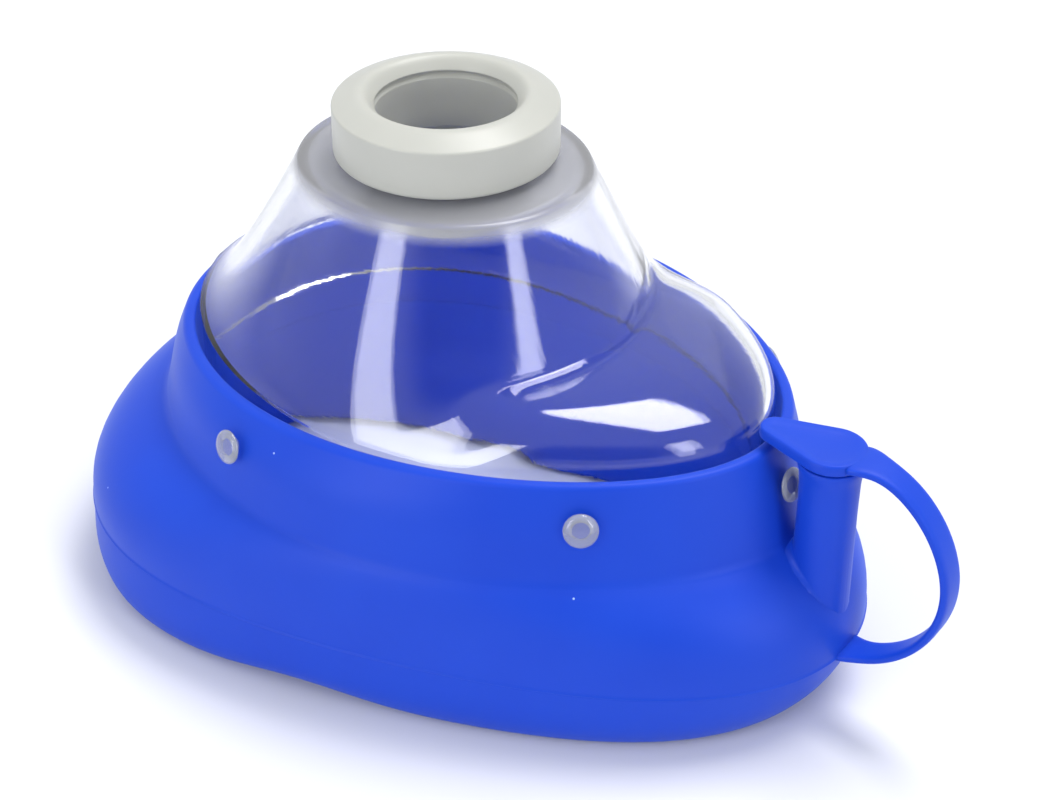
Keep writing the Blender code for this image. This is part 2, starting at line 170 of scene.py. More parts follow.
def skin(name, *stacks, capped=False):
    """One mesh over one or more stacks of rings. Each is a grid of quads, joined
    round every ring, and either joined from its last ring back to its first or, if
    capped, closed by a flat face at each end."""
    points, faces, first = [], [], 0
    for stack in stacks:
        rows, columns = stack.shape[:2]
        number = first + np.arange(rows * columns).reshape(rows, columns)
        here = number
        after = np.roll(number, -1, axis=0)
        if capped:
            faces += [number[0].tolist(), number[-1, ::-1].tolist()]
            here, after = number[:-1], after[:-1]
        beside_here = np.roll(here, -1, axis=1)
        beside_after = np.roll(after, -1, axis=1)
        quads = np.stack([here, after, beside_after, beside_here], axis=2)
        faces += quads.reshape(-1, 4).tolist()
        points.append(stack.reshape(-1, 3))
        first += rows * columns
    mesh = bpy.data.meshes.new(name)
    mesh.from_pydata(np.concatenate(points), [], faces)
    mesh.shade_smooth()
    made = bpy.data.objects.new(name, mesh)
    bpy.context.scene.collection.objects.link(made)
    return made


def finished(piece, material, slot, body, *nodes):
    """Gives a piece its material, hides the frame nodes it stands for and hangs it on
    the body it rides on. The record slot is not used."""
    piece.data.materials.append(material)
    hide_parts(*nodes)
    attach(piece, body)


# Materials.


def silicone(name, body_colour, light_colour):
    """Satin moulded silicone: a body colour with slow mottling, sparse pale dust
    specks, a soft grain and a pale sheen at grazing angles."""
    made = bpy.data.materials.new(name)
    made.use_nodes = True
    nodes = made.node_tree.nodes
    links = made.node_tree.links
    nodes.clear()

    colour_frame = nodes.new("NodeFrame")
    colour_frame.label = "Pigment and dust"
    grain_frame = nodes.new("NodeFrame")
    grain_frame.label = "Mould grain"

    place = nodes.new("ShaderNodeTexCoord")
    place.label = "Place on the moulding"
    place.location = (-1400, 0)

    mottle = nodes.new("ShaderNodeTexNoise")
    mottle.label = "Slow pigment mottling"
    mottle.location = (-1100, 400)
    mottle.parent = colour_frame
    mottle.inputs["Scale"].default_value = 45.0
    mottle.inputs["Detail"].default_value = 3.0

    pigment = nodes.new("ShaderNodeMix")
    pigment.label = "Body to lighter blue"
    pigment.location = (-800, 400)
    pigment.parent = colour_frame
    pigment.data_type = "RGBA"
    pigment.inputs["A"].default_value = body_colour
    pigment.inputs["B"].default_value = light_colour

    cells = nodes.new("ShaderNodeTexVoronoi")
    cells.label = "One speck place per cell"
    cells.location = (-1100, 100)
    cells.parent = colour_frame
    cells.inputs["Scale"].default_value = 160.0

    near = nodes.new("ShaderNodeMath")
    near.label = "Near a speck's middle"
    near.location = (-800, 160)
    near.parent = colour_frame
    near.operation = "LESS_THAN"
    near.inputs[1].default_value = 0.028

    split = nodes.new("ShaderNodeSeparateColor")
    split.label = "Random number of the cell"
    split.location = (-800, 0)
    split.parent = colour_frame

    few = nodes.new("ShaderNodeMath")
    few.label = "Only a few cells hold dust"
    few.location = (-620, 0)
    few.parent = colour_frame
    few.operation = "GREATER_THAN"
    few.inputs[1].default_value = 0.90

    dust = nodes.new("ShaderNodeMath")
    dust.label = "Dust mask"
    dust.location = (-440, 100)
    dust.parent = colour_frame
    dust.operation = "MULTIPLY"

    dusted = nodes.new("ShaderNodeMix")
    dusted.label = "Dust over pigment"
    dusted.location = (-240, 300)
    dusted.parent = colour_frame
    dusted.data_type = "RGBA"
    dusted.inputs["B"].default_value = (0.35, 0.48, 0.85, 1.0)

    grain = nodes.new("ShaderNodeTexNoise")
    grain.label = "Fine grain"
    grain.location = (-1100, -300)
    grain.parent = grain_frame
    grain.inputs["Scale"].default_value = 2200.0
    grain.inputs["Detail"].default_value = 2.0

    satin = nodes.new("ShaderNodeMapRange")
    satin.label = "Satin roughness"
    satin.location = (-560, -180)
    satin.parent = grain_frame
    satin.inputs["To Min"].default_value = 0.40
    satin.inputs["To Max"].default_value = 0.52

    relief = nodes.new("ShaderNodeBump")
    relief.label = "Grain relief"
    relief.location = (-560, -420)
    relief.parent = grain_frame
    relief.inputs["Strength"].default_value = 0.12
    relief.inputs["Distance"].default_value = 0.00008

    surface = nodes.new("ShaderNodeBsdfPrincipled")
    surface.label = "Silicone"
    surface.location = (0, 200)
    surface.inputs["IOR"].default_value = 1.41
    surface.inputs["Specular IOR Level"].default_value = 0.30
    surface.inputs["Sheen Weight"].default_value = 0.14
    surface.inputs["Sheen Roughness"].default_value = 0.35
    surface.inputs["Sheen Tint"].default_value = (0.35, 0.58, 1.0, 1.0)
    surface.inputs["Subsurface Weight"].default_value = 0.12
    surface.inputs["Subsurface Radius"].default_value = (0.2, 0.45, 1.0)
    surface.inputs["Subsurface Scale"].default_value = 0.0025

    output = nodes.new("ShaderNodeOutputMaterial")
    output.label = "Output"
    output.location = (320, 200)

    links.new(place.outputs["Object"], mottle.inputs["Vector"])
    links.new(place.outputs["Object"], cells.inputs["Vector"])
    links.new(place.outputs["Object"], grain.inputs["Vector"])
    links.new(mottle.outputs["Fac"], pigment.inputs["Factor"])
    links.new(cells.outputs["Distance"], near.inputs[0])
    links.new(cells.outputs["Color"], split.inputs["Color"])
    links.new(split.outputs["Red"], few.inputs[0])
    links.new(near.outputs["Value"], dust.inputs[0])
    links.new(few.outputs["Value"], dust.inputs[1])
    links.new(dust.outputs["Value"], dusted.inputs["Factor"])
    links.new(pigment.outputs["Result"], dusted.inputs["A"])
    links.new(dusted.outputs["Result"], surface.inputs["Base Color"])
    links.new(mottle.outputs["Fac"], satin.inputs["Value"])
    links.new(satin.outputs["Result"], surface.inputs["Roughness"])
    links.new(grain.outputs["Fac"], relief.inputs["Height"])
    links.new(relief.outputs["Normal"], surface.inputs["Normal"])
    links.new(surface.outputs["BSDF"], output.inputs["Surface"])
    return made


def clear_plastic(name, tint, haze, clarity, frost):
    """Clear moulded plastic: a glass-like shader with a faint haze that varies, fine
    wipe marks, a greyer and frosted plate that begins just under the plate's height,
    and light let through to what lies inside."""
    made = bpy.data.materials.new(name)
    made.use_nodes = True
    nodes = made.node_tree.nodes
    links = made.node_tree.links
    nodes.clear()

    haze_frame = nodes.new("NodeFrame")
    haze_frame.label = "Haze and wipe marks"
    light_frame = nodes.new("NodeFrame")
    light_frame.label = "Light reaches the inside"

    place = nodes.new("ShaderNodeTexCoord")
    place.label = "Place on the moulding"
    place.location = (-1200, 0)

    stretch = nodes.new("ShaderNodeMapping")
    stretch.label = "Marks run across"
    stretch.location = (-1000, 0)
    stretch.parent = haze_frame
    stretch.inputs["Rotation"].default_value = (0.3, 0.5, 0.6)
    stretch.inputs["Scale"].default_value = (1.0, 9.0, 1.0)

    marks = nodes.new("ShaderNodeTexNoise")
    marks.label = "Wipe marks"
    marks.location = (-780, 0)
    marks.parent = haze_frame
    marks.inputs["Scale"].default_value = 120.0
    marks.inputs["Detail"].default_value = 4.0
    marks.inputs["Roughness"].default_value = 0.6

    blur = nodes.new("ShaderNodeMapRange")
    blur.label = "Haze"
    blur.location = (-540, 80)
    blur.parent = haze_frame
    blur.inputs["From Min"].default_value = 0.35
    blur.inputs["From Max"].default_value = 0.75
    blur.inputs["To Min"].default_value = haze
    blur.inputs["To Max"].default_value = haze * 2.5

    waves = nodes.new("ShaderNodeBump")
    waves.label = "Moulding ripples"
    waves.location = (-540, -200)
    waves.parent = haze_frame
    waves.inputs["Strength"].default_value = 0.05
    waves.inputs["Distance"].default_value = 0.0002

    surface = nodes.new("ShaderNodeBsdfPrincipled")
    surface.label = "Clear plastic"
    surface.location = (-260, 100)
    surface.inputs["IOR"].default_value = 1.49

    height = nodes.new("ShaderNodeSeparateXYZ")
    height.label = "Height on the moulding"
    height.location = (-1000, 420)
    height.parent = haze_frame

    plate = nodes.new("ShaderNodeMapRange")
    plate.label = "Frosted plate"
    plate.location = (-780, 420)
    plate.parent = haze_frame
    plate.interpolation_type = "SMOOTHSTEP"
    plate.inputs["From Min"].default_value = PLATE_Z - 3.1 * MM
    plate.inputs["From Max"].default_value = PLATE_Z - 0.4 * MM
    plate.inputs["To Max"].default_value = frost

    greyed = nodes.new("ShaderNodeMix")
    greyed.label = "Clear tint to frosted grey"
    greyed.location = (-540, 420)
    greyed.parent = haze_frame
    greyed.data_type = "RGBA"
    greyed.inputs["A"].default_value = tint
    greyed.inputs["B"].default_value = (0.30, 0.30, 0.315, 1.0)

    rough = nodes.new("ShaderNodeMath")
    rough.label = "Haze and frost"
    rough.location = (-360, 260)
    rough.parent = haze_frame
    rough.operation = "MULTIPLY_ADD"
    rough.inputs[1].default_value = 0.28

    cloudy = nodes.new("ShaderNodeMath")
    cloudy.label = "Clarity, less in the frost"
    cloudy.location = (-360, 60)
    cloudy.parent = haze_frame
    cloudy.operation = "MULTIPLY_ADD"
    cloudy.inputs[1].default_value = -0.55
    cloudy.inputs[2].default_value = clarity

    rays = nodes.new("ShaderNodeLightPath")
    rays.label = "Rays from lamps"
    rays.location = (-260, 460)
    rays.parent = light_frame

    passing = nodes.new("ShaderNodeBsdfTransparent")
    passing.label = "Light passing through"
    passing.location = (-260, -300)
    passing.parent = light_frame
    passing.inputs["Color"].default_value = (0.62, 0.65, 0.78, 1.0)

    choice = nodes.new("ShaderNodeMixShader")
    choice.label = "Lamps pass, eyes see plastic"
    choice.location = (80, 160)
    choice.parent = light_frame

    output = nodes.new("ShaderNodeOutputMaterial")
    output.label = "Output"
    output.location = (300, 160)

    links.new(place.outputs["Object"], stretch.inputs["Vector"])
    links.new(stretch.outputs["Vector"], marks.inputs["Vector"])
    links.new(marks.outputs["Fac"], blur.inputs["Value"])
    links.new(place.outputs["Object"], height.inputs["Vector"])
    links.new(height.outputs["Z"], plate.inputs["Value"])
    links.new(plate.outputs["Result"], greyed.inputs["Factor"])
    links.new(greyed.outputs["Result"], surface.inputs["Base Color"])
    links.new(plate.outputs["Result"], rough.inputs[0])
    links.new(blur.outputs["Result"], rough.inputs[2])
    links.new(rough.outputs["Value"], surface.inputs["Roughness"])
    links.new(plate.outputs["Result"], cloudy.inputs[0])
    links.new(cloudy.outputs["Value"], surface.inputs["Transmission Weight"])
    links.new(marks.outputs["Fac"], waves.inputs["Height"])
    links.new(waves.outputs["Normal"], surface.inputs["Normal"])
    links.new(rays.outputs["Is Shadow Ray"], choice.inputs[0])
    links.new(surface.outputs["BSDF"], choice.inputs[1])
    links.new(passing.outputs["BSDF"], choice.inputs[2])
    links.new(choice.outputs["Shader"], output.inputs["Surface"])
    return made


def grey_plastic(name, colour, worn_colour):
    """Opaque pale plastic with a satin surface, faint handling marks and a little
    light carried inside it."""
    made = bpy.data.materials.new(name)
    made.use_nodes = True
    nodes = made.node_tree.nodes
    links = made.node_tree.links
    nodes.clear()

    tone_frame = nodes.new("NodeFrame")
    tone_frame.label = "Tone and handling marks"

    place = nodes.new("ShaderNodeTexCoord")
    place.label = "Place on the ring"
    place.location = (-1000, 0)

    cloud = nodes.new("ShaderNodeTexNoise")
    cloud.label = "Handling marks"
    cloud.location = (-780, 120)
    cloud.parent = tone_frame
    cloud.inputs["Scale"].default_value = 90.0
    cloud.inputs["Detail"].default_value = 5.0

    tone = nodes.new("ShaderNodeMix")
    tone.label = "Clean to handled"
    tone.location = (-480, 200)
    tone.parent = tone_frame
    tone.data_type = "RGBA"
    tone.inputs["A"].default_value = colour
    tone.inputs["B"].default_value = worn_colour

    satin = nodes.new("ShaderNodeMapRange")
    satin.label = "Satin roughness"
    satin.location = (-480, -40)
    satin.parent = tone_frame
    satin.inputs["To Min"].default_value = 0.30
    satin.inputs["To Max"].default_value = 0.46

    grain = nodes.new("ShaderNodeTexNoise")
    grain.label = "Fine grain"
    grain.location = (-780, -260)
    grain.inputs["Scale"].default_value = 2600.0

    relief = nodes.new("ShaderNodeBump")
    relief.label = "Grain relief"
    relief.location = (-480, -300)
    relief.inputs["Strength"].default_value = 0.10
    relief.inputs["Distance"].default_value = 0.00006

    surface = nodes.new("ShaderNodeBsdfPrincipled")
    surface.label = "Grey plastic"
    surface.location = (-160, 100)
    surface.inputs["IOR"].default_value = 1.49
    surface.inputs["Subsurface Weight"].default_value = 0.15
    surface.inputs["Subsurface Radius"].default_value = (1.0, 0.9, 0.7)
    surface.inputs["Subsurface Scale"].default_value = 0.002

    output = nodes.new("ShaderNodeOutputMaterial")
    output.label = "Output"
    output.location = (160, 100)

    links.new(place.outputs["Object"], cloud.inputs["Vector"])
    links.new(place.outputs["Object"], grain.inputs["Vector"])
    links.new(cloud.outputs["Fac"], tone.inputs["Factor"])
    links.new(tone.outputs["Result"], surface.inputs["Base Color"])
    links.new(cloud.outputs["Fac"], satin.inputs["Value"])
    links.new(satin.outputs["Result"], surface.inputs["Roughness"])
    links.new(grain.outputs["Fac"], relief.inputs["Height"])
    links.new(relief.outputs["Normal"], surface.inputs["Normal"])
    links.new(surface.outputs["BSDF"], output.inputs["Surface"])
    return made


# Cuff.

TUBE_FULLNESS = 2.7
SEAL_TOP_Z = 25.4 * MM  # where the seal ends inside the collar
SEAM_GAP = 0.02 * MM  # between the two walls at the seam
CHEEK_LIFT = 1.8 * MM
CHEEK_MIDDLE = 4.0 * MM  # from the connector's axis towards the nose
CHEEK_SPREAD = 15.0 * MM


def tube_rings(rows):
    """The outside of the tube from the collar's foot to the seam: at each share of
    the way down, the outline has gone out by 1 - (1 - share) to the power of the
    fullness."""
    rings = []
    for share in 1 - np.cos(np.linspace(0, math.pi / 2, rows + 1))[1:]:
        out = 1 - (1 - share) ** TUBE_FULLNESS
        egg = between(COLLAR_FOOT, SEAM, out)
        rings.append(ring_of(egg, FOOT_Z + (SEAM_Z - FOOT_Z) * share))
    return rings


def make_cuff():
    """The collar and the upper tube wall as one closed skin: down the outside from
    the lip to the seam, and back up the inside."""
    wall = CUFF_WALL / MM
    low = grown(between(COLLAR_FOOT, SEAM, 0.96), -wall)
    high = grown(between(COLLAR_FOOT, SEAM, 0.78), -wall - 0.8)
    edges = [
        (ring_of(COLLAR_INNER, LIP_Z, LIP_TILT), 0.7),
        (ring_of(COLLAR_LIP, LIP_Z, LIP_TILT), 0.9),
        (ring_of(COLLAR_MIDDLE, STUD_Z), 3),
        (ring_of(grown(COLLAR_FOOT, -0.4), FOOT_Z + 0.1 * MM), 1.3),
    ]
    edges += [(ring, 0) for ring in tube_rings(18)[3:-1]]
    edges += [
        (ring_of(SEAM, SEAM_Z + 0.5 * MM), 0.3),
        (ring_of(grown(SEAM, 0.22), SEAM_Z + 0.1 * MM), 0.1),
        (ring_of(grown(SEAM, 0.1), SEAM_Z), 0),
        (ring_of(grown(SEAM, -wall), SEAM_Z), 0.3),
        (ring_of(low, 18.2 * MM), 3),
        (ring_of(high, 22.5 * MM), 3),
        (ring_of(grown(COLLAR_FOOT, 1.0), SEAL_TOP_Z - 0.4 * MM), 1.5),
        (ring_of(COLLAR_INNER, SEAL_TOP_Z + 0.05 * MM), 0.1),
    ]
    return skin("cuff_upper", rounded(edges))


def make_seal():
    """The lower tube wall as one closed skin: down the outside from the seam, under
    along the flat edge, in to the mouth's opening, up to the collar's foot, and back
    within the wall. The flat edge rises under the cheeks by a bell curve in the
    seam's distance along the mask."""
    wall = CUFF_WALL / MM
    low = between(MOUTH, COLLAR_INNER, 0.30)
    high = between(MOUTH, COLLAR_INNER, 0.75)
    along = outline(SEAM)[:, 0]
    lift = CHEEK_LIFT * np.exp(-(((along - CHEEK_MIDDLE) / CHEEK_SPREAD) ** 2))
    edges = [
        (ring_of(SEAM, SEAM_Z - SEAM_GAP), 0.3),
        (ring_of(SEAL_LOWER, 6.0 * MM), 6),
        (ring_of(SEAL_EDGE, 1.2 * MM + lift), 3),
        (ring_of(grown(SEAL_EDGE, -3.0), lift), 1.5),
        (ring_of(grown(SEAL_EDGE, -9.0), lift), 2),
        (ring_of(grown(MOUTH, 0.6), 0.6 * MM), 1.5),
        (ring_of(MOUTH, 3.0 * MM), 3),
        (ring_of(low, 10.0 * MM), 4),
        (ring_of(high, 17.0 * MM), 4),
        (ring_of(COLLAR_INNER, SEAL_TOP_Z), 0.1),
        (ring_of(grown(COLLAR_INNER, wall), SEAL_TOP_Z), 0.5),
        (ring_of(grown(high, wall), 16.5 * MM), 4),
        (ring_of(grown(low, wall), 9.5 * MM), 3),
        (ring_of(grown(MOUTH, 1.9), 3.2 * MM), 1),
        (ring_of(grown(SEAL_EDGE, -8.5), CUFF_WALL + lift), 2),
        (ring_of(grown(SEAL_EDGE, -3.5), CUFF_WALL + lift), 1.5),
        (ring_of(grown(SEAL_EDGE, -1.2), 3.0 * MM + lift), 2),
        (ring_of(grown(SEAL_LOWER, -wall), 6.5 * MM), 4),
        (ring_of(grown(SEAM, -wall), SEAM_Z - SEAM_GAP), 0.3),
    ]
    return skin("cuff_lower", rounded(edges))


# Dome.

DOME_PLAY = 1.0  # millimetres between the dome's rim and the collar
RAMP_Z = 45.5 * MM
RAMP_RISE_NOSE = 11.0 * MM
RAMP_RISE_CHIN = 8.5 * MM
RAMP_FULLNESS = 3.6
CONE_SLOPE = 0.50
CONE_SKEW = 0.04
CREASE = 1.6 * MM
FLARE_TURN_Z = 52.0 * MM
FLARE_END_Z = 45.4 * MM
CHIN_LIFT = 3.0 * MM
RAMP_HALF_ANGLE = math.radians(32)
FLARE_HALF_ANGLE = math.radians(66)
FLANK_ROWS = 56


def radius_of(egg, azimuth):
    """Distance in metres from the connector's axis to an egg in each direction."""
    flat = outline(egg)
    flat = np.concatenate([flat, flat[:1]])
    angle = np.unwrap(np.arctan2(flat[:, 1], flat[:, 0]))
    return np.interp(azimuth, angle, np.hypot(flat[:, 0], flat[:, 1]))


def dome_flank(inset):
    """The dome's flank, from the plate's edge to the rim, at an inset from the
    outside. Over the nose its height at each distance from the axis is the soft
    maximum of a skewed cone under the plate and of a full dome on the egg-shaped rim.
    Elsewhere it is a quadratic Bezier that leaves the plate along the cone and turns
    out to the rim, solved for the distance. A smooth step in the angle from the nose
    joins the two."""
    azimuth = np.linspace(0, 2 * math.pi, AROUND, endpoint=False)
    nose = np.cos(azimuth)
    start = radius_of(grown(PLATE, -inset / MM), azimuth)
    end = radius_of(grown(COLLAR_INNER, -DOME_PLAY - inset / MM), azimuth)
    step = np.sin(np.linspace(0, math.pi / 2, FLANK_ROWS))[:, None]
    radius = start + (end - start) * step
    slope = CONE_SLOPE - CONE_SKEW * nose
    cone = PLATE_Z - inset / 2 - (radius - start) / slope
    middle = (RAMP_RISE_NOSE + RAMP_RISE_CHIN) / 2
    rise = middle + (RAMP_RISE_NOSE - RAMP_RISE_CHIN) / 2 * nose
    share = np.clip(1 - (radius / end) ** RAMP_FULLNESS, 0, None) ** (1 / RAMP_FULLNESS)
    ramp = RAMP_Z - inset / 2 + (rise - inset / 2) * share
    creased = (cone + ramp + np.hypot(cone - ramp, CREASE)) / 2

    turn = start + slope * (PLATE_Z - FLARE_TURN_Z)
    lead = 2 * (turn - start)
    bend = start - 2 * turn + end
    reach = radius - start
    u = 2 * reach / (lead + np.sqrt(lead**2 + 4 * bend * reach))
    foot = FLARE_END_Z - CHIN_LIFT * nose
    flared = (1 - u) ** 2 * PLATE_Z + 2 * u * (1 - u) * FLARE_TURN_Z + u**2 * foot

    from_nose = np.abs(np.arctan2(np.sin(azimuth), nose))
    spread = FLARE_HALF_ANGLE - RAMP_HALF_ANGLE
    side = np.clip((from_nose - RAMP_HALF_ANGLE) / spread, 0, 1)
    side = side * side * (3 - 2 * side)
    z = creased + (flared - inset / 2 - creased) * side
    x = CONNECTOR_X + radius * np.cos(azimuth)
    return np.stack([x, radius * np.sin(azimuth), z], axis=2)


def flank_edges(rings, first_cut, last_cut):
    """A flank's rings paired with their cuts. Only the first and the last have one."""
    cuts = [first_cut] + [0] * (len(rings) - 2) + [last_cut]
    return list(zip(rings, cuts))


def make_dome():
    """The dome as one closed skin: up inside the neck, over it, out across the plate,
    down the flank to the rim's foot, and back up inside the wall."""
    neck = NECK_RADIUS + NECK_WALL
    outer = dome_flank(0.0)
    inner = dome_flank(DOME_WALL)
    foot_outer = outer[-1].copy()
    foot_inner = inner[-1].copy()
    foot_outer[:, 2] = DOME_FOOT_Z
    foot_inner[:, 2] = DOME_FOOT_Z
    edges = [
        (circle(NECK_RADIUS, inner[0, 0, 2]), 0.5),
        (circle(NECK_RADIUS, NECK_TOP_Z), 0.4),
        (circle(neck, NECK_TOP_Z), 0.4),
        (circle(neck, PLATE_Z + 1.3 * MM), 0.6),
        (circle(RING_RADIUS, PLATE_Z + 1.0 * MM), 2),
    ]
    edges += flank_edges(outer, 0.7, 0.9)
    edges += [(foot_outer, 0.5), (foot_inner, 0.5)]
    edges += flank_edges(inner[::-1], 0.9, 1.2)
    return skin("clear_dome", rounded(edges))


# Ring.

RING_PLAY = 0.3  # millimetres between the ring or its sleeve and the dome's neck
FUNNEL_RADIUS = 13.0
CROWN_RADIUS = 14.4
CROWN_DROP = 1.75


def make_ring():
    """The ring with its conical top, rounded funnel lip and stepped bore, and the
    sleeve that goes down inside the dome's neck: a closed profile turned round the
    connector's axis. Each corner of the profile has its radius, height and cut, in
    millimetres."""
    top = RING_TOP_Z / MM
    bottom = RING_BOTTOM_Z / MM
    outer = RING_RADIUS / MM
    bore = BORE_RADIUS / MM
    socket = (NECK_RADIUS + NECK_WALL) / MM + RING_PLAY
    sleeve = NECK_RADIUS / MM - RING_PLAY
    sleeve_bottom = SLEEVE_BOTTOM_Z / MM
    neck_top = NECK_TOP_Z / MM + RING_PLAY
    profile = [
        (CROWN_RADIUS, top, 1.0),
        (outer, top - CROWN_DROP, 0.35),
        (outer, bottom, 0.8),
        (socket, bottom, 0.3),
        (socket, neck_top, 0.3),
        (sleeve, neck_top, 0.3),
        (sleeve, sleeve_bottom, 0.3),
        (bore, sleeve_bottom, 0.3),
        # A groove low in the bore, and a narrow land over it.
        (bore, 76.5, 0.1),
        (bore + 0.35, 76.8, 0.1),
        (bore + 0.35, 77.3, 0.1),
        (bore - 0.15, 77.8, 0.2),
        (bore - 0.15, 79.4, 0.6),
        # The taper that takes a connector, and a groove under the funnel.
        (bore + 0.2, 82.5, 0.8),
        (bore + 0.25, 86.4, 0.2),
        (bore + 0.7, 86.8, 0.1),
        (bore + 0.65, 87.3, 0.1),
        (bore + 0.15, 87.7, 0.3),
        (FUNNEL_RADIUS, top, 1.2),
    ]
    edges = [(circle(radius * MM, z * MM), cut) for radius, z, cut in profile]
    return skin("connector_collar", rounded(edges))


# Port, plug and strap.

PORT_COLUMNS = 96
PORT_NEARBY = 16 * MM  # how far the port looks for the cuff under it
PORT_SINK = 0.25 * MM  # how deep its foot is set into the cuff
PORT_BORE = 3.0 * MM
TAB_RADIUS = 2.6 * MM
CAP_THICKNESS = 2.0 * MM
STEM_RADIUS = 2.6 * MM
STRAP_HALF_WIDTH = 2.55 * MM
STRAP_HALF_THICKNESS = 0.75 * MM


def cuff_height(x, y, cloud):
    """Height of the tube's upper surface over each place: the mean of the surface's
    own points, weighted by the inverse fourth power of their distance."""
    gap = (x[:, None] - cloud[:, 0]) ** 2 + (y[:, None] - cloud[:, 1]) ** 2
    weight = 1 / (gap + TINY) ** 2
    return (weight * cloud[:, 2]).sum(axis=1) / weight.sum(axis=1)


def port_circle(radius, z):
    """A level circle about the port's axis."""
    return circle(radius, z, PORT_X, PORT_COLUMNS)


def make_port():
    """The port's tube: an open tube whose foot spreads into the cuff in a quarter
    round, wider on the side towards the connector, and whose top spreads under the
    plug. Its rings go up the outside and down the bore, so the stack is turned over
    for its faces to point outwards."""
    t = np.linspace(0, 2 * math.pi, PORT_COLUMNS, endpoint=False)
    tube = np.concatenate(tube_rings(40))
    near = tube[np.hypot(tube[:, 0] - PORT_X, tube[:, 1]) < PORT_NEARBY]
    spread = (0.4 + 1.8 * (1 - np.cos(t)) / 2) * MM
    top = port_high.z
    edges = [(port_circle(PORT_RADIUS, port_low.z), 0.3)]
    for quarter in np.linspace(0, math.pi / 2, 9):
        radius = PORT_RADIUS + spread * (1 - math.sin(quarter))
        x = PORT_X + radius * np.cos(t)
        y = radius * np.sin(t)
        z = cuff_height(x, y, near) + spread * (1 - math.cos(quarter)) - PORT_SINK
        edges.append((np.column_stack([x, y, z]), 0))
    edges += [
        (port_circle(PORT_RADIUS - 0.1 * MM, top - 9 * MM), 2),
        (port_circle(PORT_RADIUS, top - 3 * MM), 2),
        (port_circle(PORT_RADIUS + 0.5 * MM, top - 0.8 * MM), 0.5),
        (port_circle(PORT_RADIUS + 0.5 * MM, top), 0.3),
        (port_circle(PORT_BORE, top), 0.4),
        (port_circle(PORT_BORE, port_low.z), 0.3),
    ]
    return skin("filling_port", rounded(edges)[::-1])


def arc(x, radius, start, end, count):
    """A level arc about a place on the mask's middle line, as x and y."""
    t = np.linspace(start, end, count)
    return np.column_stack([x + radius * np.cos(t), radius * np.sin(t)])


def teardrop(inset, z):
    """The plug's outline as one ring: an arc of its disc, a straight flank, an arc of
    its tab's smaller end and the other flank, all moved in by the inset. The flanks
    touch both arcs, at the angle whose cosine is the difference of the radii over
    the distance between the middles."""
    tab_x = plug_low.x + TAB_RADIUS
    opening = math.acos((PLUG_RADIUS - TAB_RADIUS) / (PORT_X - tab_x))
    disc = arc(PORT_X, PLUG_RADIUS - inset, opening - math.pi, math.pi - opening, 73)
    tip = arc(tab_x, TAB_RADIUS - inset, math.pi - opening, math.pi + opening, 33)
    first_flank = np.linspace(disc[-1], tip[0], 25)[1:-1]
    last_flank = np.linspace(tip[-1], disc[0], 25)[1:-1]
    flat = np.concatenate([disc, first_flank, tip, last_flank])
    return np.column_stack([flat, np.full(len(flat), z)])


def make_plug():
    """The plug: a soft-edged teardrop cap, dished a little on top, with the stem
    that closes the port."""
    high = plug_high.z
    low = high - CAP_THICKNESS
    cap = [
        (teardrop(2.2 * MM, high - 0.25 * MM), 0),
        (teardrop(1.6 * MM, high - 0.1 * MM), 0),
        (teardrop(0.9 * MM, high), 0),
        (teardrop(0.0, high), 0.9),
        (teardrop(0.0, low), 0.6),
        (teardrop(1.2 * MM, low), 0),
    ]
    stem = [
        (circle(STEM_RADIUS, high - 1.0 * MM, PORT_X, 64), 0),
        (circle(STEM_RADIUS, plug_low.z, PORT_X, 64), 0.6),
        (circle(0.8 * MM, plug_low.z, PORT_X, 64), 0),
    ]
    return skin("plug_cap", rounded(cap), rounded(stem), capped=True)


def widening(share, by, reach):
    """Extra half width near the strap's end: a bell curve in the share of its length
    that lies between a place and that end."""
    return by * np.exp(-((share / reach) ** 2))


def make_strap():
    """The tether: a soft-cornered flat section, a superellipse across, carried along
    two cubic Beziers out of the plug, round the loop and back to the seam. It widens
    towards the plug and towards its root."""
    start = np.array([PORT_X + PLUG_RADIUS - 1.2 * MM, plug_high.z - 0.85 * MM])
    loop = np.array([strap_high.x - STRAP_HALF_THICKNESS, 31.5 * MM])
    root = np.array([SEAM[1] * MM + CONNECTOR_X - 1.0 * MM, SEAM_Z])
    out = (9.0 * MM, 1.6 * MM)
    above = (0, 9.5 * MM)
    beneath = (0, 10.5 * MM)
    level = (8.0 * MM, 0)
    legs = [
        (start, start + out, loop + above, loop),
        (loop, loop - beneath, root + level, root),
    ]
    t = np.linspace(0, 1, 61)[:, None]
    s = 1 - t
    upper, lower = [
        s**3 * a + 3 * s * s * t * b + 3 * s * t * t * c + t**3 * d for a, b, c, d in legs
    ]
    route = np.concatenate([upper, lower[1:]])
    along = np.gradient(route, axis=0)
    along /= np.linalg.norm(along, axis=1)[:, None]
    across = np.stack([-along[:, 1], along[:, 0]], axis=1)
    share = np.linspace(0, 1, len(route))
    at_plug = widening(share, 1.3 * MM, 0.07)
    at_root = widening(1 - share, 0.9 * MM, 0.06)
    half_width = STRAP_HALF_WIDTH + at_plug + at_root
    turn = np.linspace(0, 2 * math.pi, 40, endpoint=False)
    wide = np.sign(np.cos(turn)) * np.abs(np.cos(turn)) ** 0.4
    thick = np.sign(np.sin(turn)) * np.abs(np.sin(turn)) ** 0.7 * STRAP_HALF_THICKNESS
    x = route[:, :1] + across[:, :1] * thick
    z = route[:, 1:] + across[:, 1:] * thick
    y = half_width[:, None] * wide
    return skin("tether", np.stack([x, y, z], axis=2)[::-1], capped=True)


# Studs.

